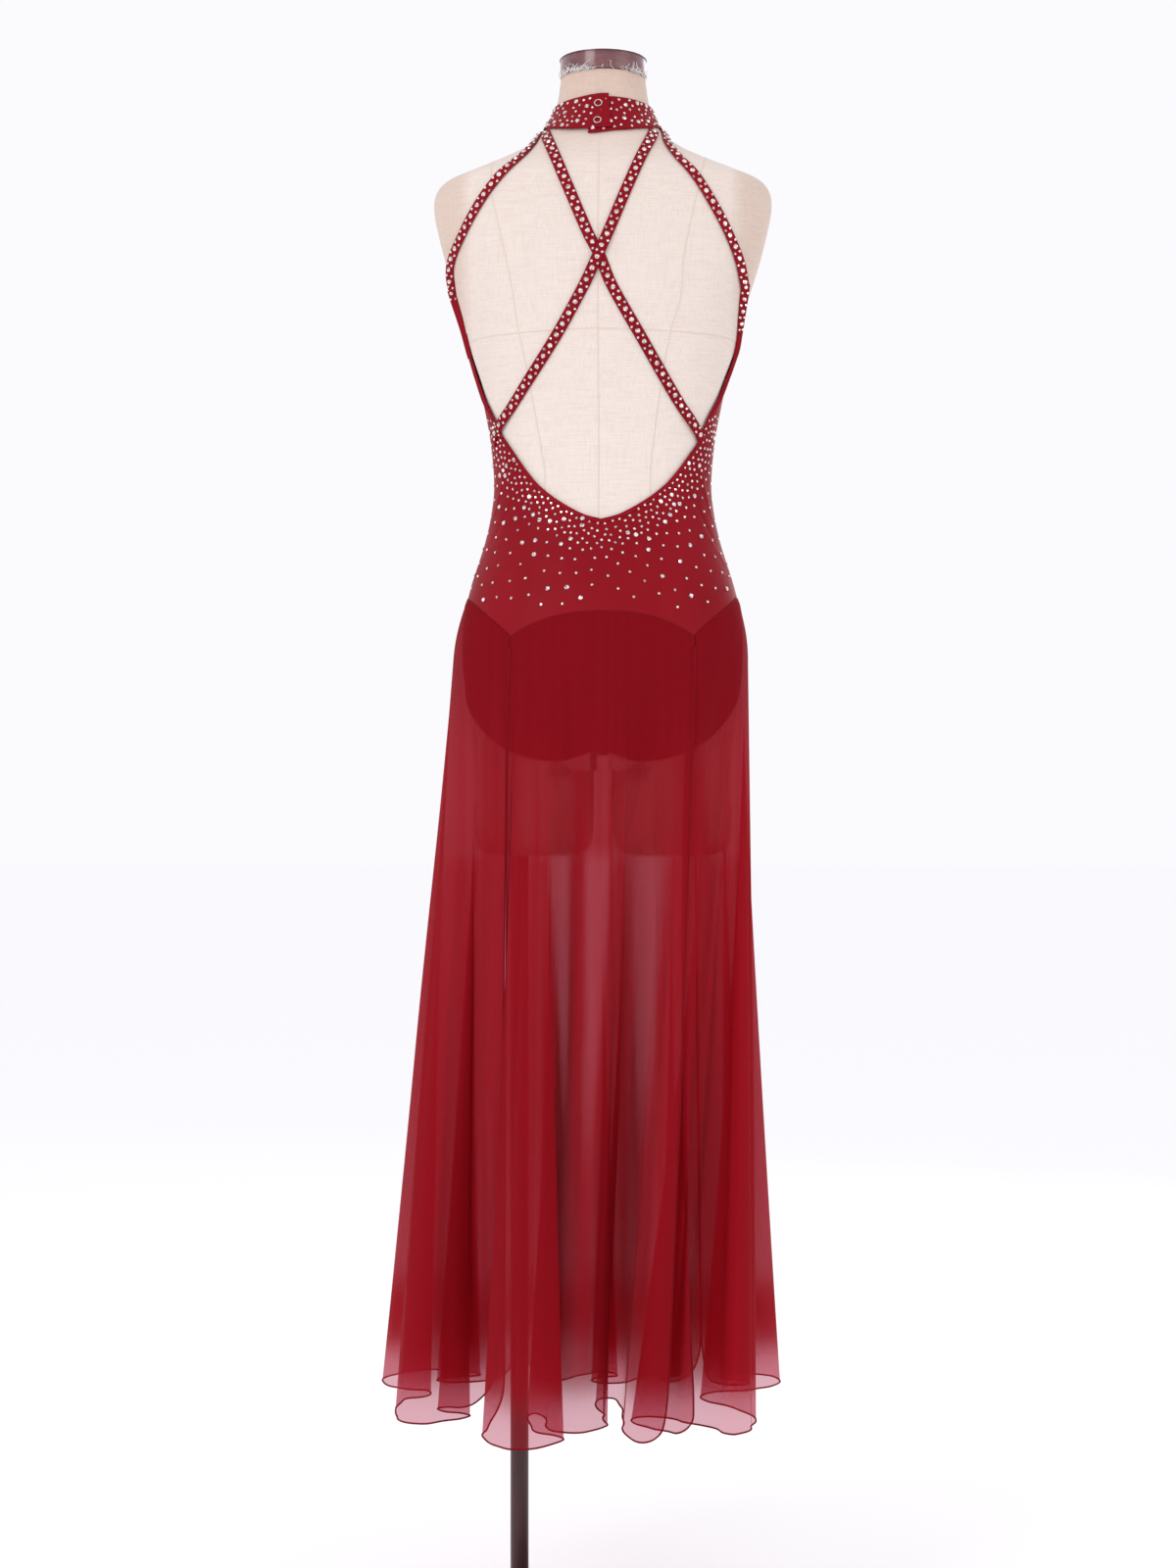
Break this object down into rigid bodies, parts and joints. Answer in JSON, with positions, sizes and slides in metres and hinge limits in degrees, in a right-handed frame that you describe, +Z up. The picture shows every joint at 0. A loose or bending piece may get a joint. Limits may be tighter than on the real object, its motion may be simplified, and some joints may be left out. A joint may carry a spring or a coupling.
{
  "type": "lyrical dance dress on a dress form",
  "caption": "Long open-back halter dance dress with crossed back straps and a sheer panelled skirt, worn on a limbless dress form on a pole and round base.",
  "frame": {"origin": "centre of the base plate's underside, below the form's centre line", "axes": "+Z up; -Y is the dress's front and +Y its open back; +X is the wearer's left"},
  "size_m": [0.458, 0.4037, 1.7218],
  "materials": {
    "linen_form": "plain linen weave stretched on the form",
    "plum_cap": "gloss",
    "dark_metal": "satin dark brown paint",
    "red_knit": "smooth stretch knit with a soft sheen",
    "red_chiffon": "sheer matt chiffon",
    "snap_metal": "bright plated",
    "rhinestone": "faceted clear stones with a silver back"
  },
  "bodies": {
    "root": {"form_torso": "linen_form", "neck_cap": "plum_cap", "pole": "dark_metal", "base_plate": "dark_metal", "collar": "red_knit", "snap_upper": "snap_metal", "snap_lower": "snap_metal", "front_bodice": "red_knit", "back_bodice": "red_knit", "back_binding": "red_knit", "brief_back": "red_knit", "brief_front": "red_knit", "brief_gusset": "red_knit", "cross_strap_under": "red_knit", "cross_strap_over": "red_knit", "side_strap_left": "red_knit", "side_strap_right": "red_knit", "skirt_back": "red_chiffon", "skirt_side_left": "red_chiffon", "skirt_side_right": "red_chiffon", "skirt_front": "red_chiffon"}
  },
  "joints": []
}
